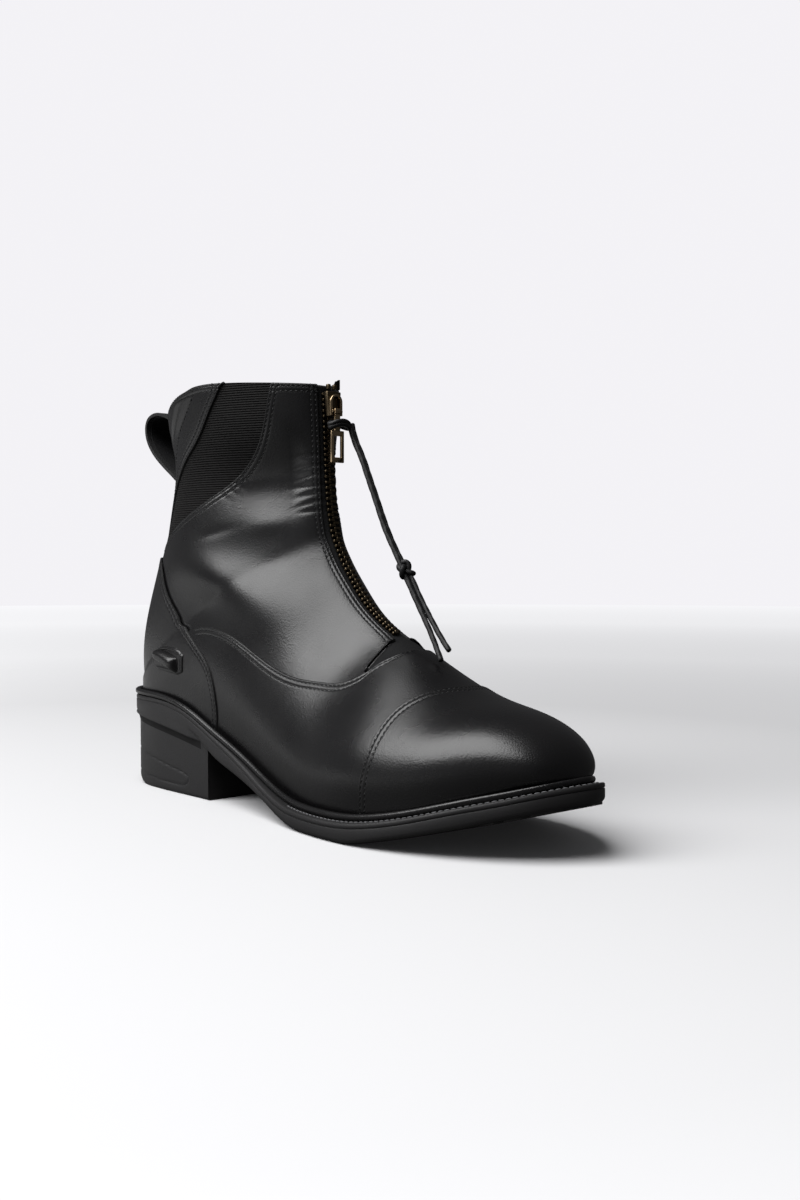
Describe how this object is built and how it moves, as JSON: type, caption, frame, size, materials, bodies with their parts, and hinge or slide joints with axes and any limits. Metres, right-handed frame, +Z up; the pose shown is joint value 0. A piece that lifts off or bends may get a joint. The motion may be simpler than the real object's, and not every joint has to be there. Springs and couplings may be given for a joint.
{
  "type": "jodhpur boot",
  "caption": "Ankle-high black leather jodhpur boot for the right foot, with a front zip and cord pull, elastic side gores, a rear pull loop, a stitched welt and a block heel.",
  "frame": {"origin": "on the floor under the middle of the heel block", "axes": "+X towards the toe, +Z up, -Y towards the outer side of the right foot"},
  "size_m": [0.2914, 0.0959, 0.1895],
  "materials": {
    "black_leather": "smooth, polished",
    "lining": "matt lining leather",
    "elastic": "ribbed elastic webbing",
    "black_rubber": "satin moulded rubber",
    "antique_brass": "antique, worn",
    "zip_tape": "woven tape",
    "waxed_cord": "waxed braid"
  },
  "bodies": {
    "boot": {"outsole": "black_rubber", "heel": "black_rubber", "welt": "black_leather", "insole": "lining", "upper": "lining", "toe_cap": "black_leather", "vamp": "black_leather", "quarter_outer": "black_leather", "quarter_inner": "black_leather", "gore_outer": "elastic", "gore_inner": "elastic", "back_strip": "black_leather", "counter": "black_leather", "spur_rest_outer": "black_leather", "spur_rest_inner": "black_leather", "throat_gusset": "zip_tape", "zip_tape": "zip_tape", "zip_chain": "antique_brass", "zip_slider": "antique_brass", "pull_loop": "black_leather", "cord_strand_a": "waxed_cord", "cord_strand_b": "waxed_cord", "cord_tail_a": "waxed_cord", "cord_tail_b": "waxed_cord", "cord_knot": "waxed_cord"},
    "zip_tab": {"zip_pull_tab": "antique_brass", "cord_hitch": "waxed_cord"}
  },
  "joints": [
    {"name": "zip_tab_hinge", "type": "hinge", "parent": "boot", "child": "zip_tab", "pos_m": [0.0959, 0, 0.1746], "axis": [0, -1, 0], "range_deg": [0, 135]}
  ]
}
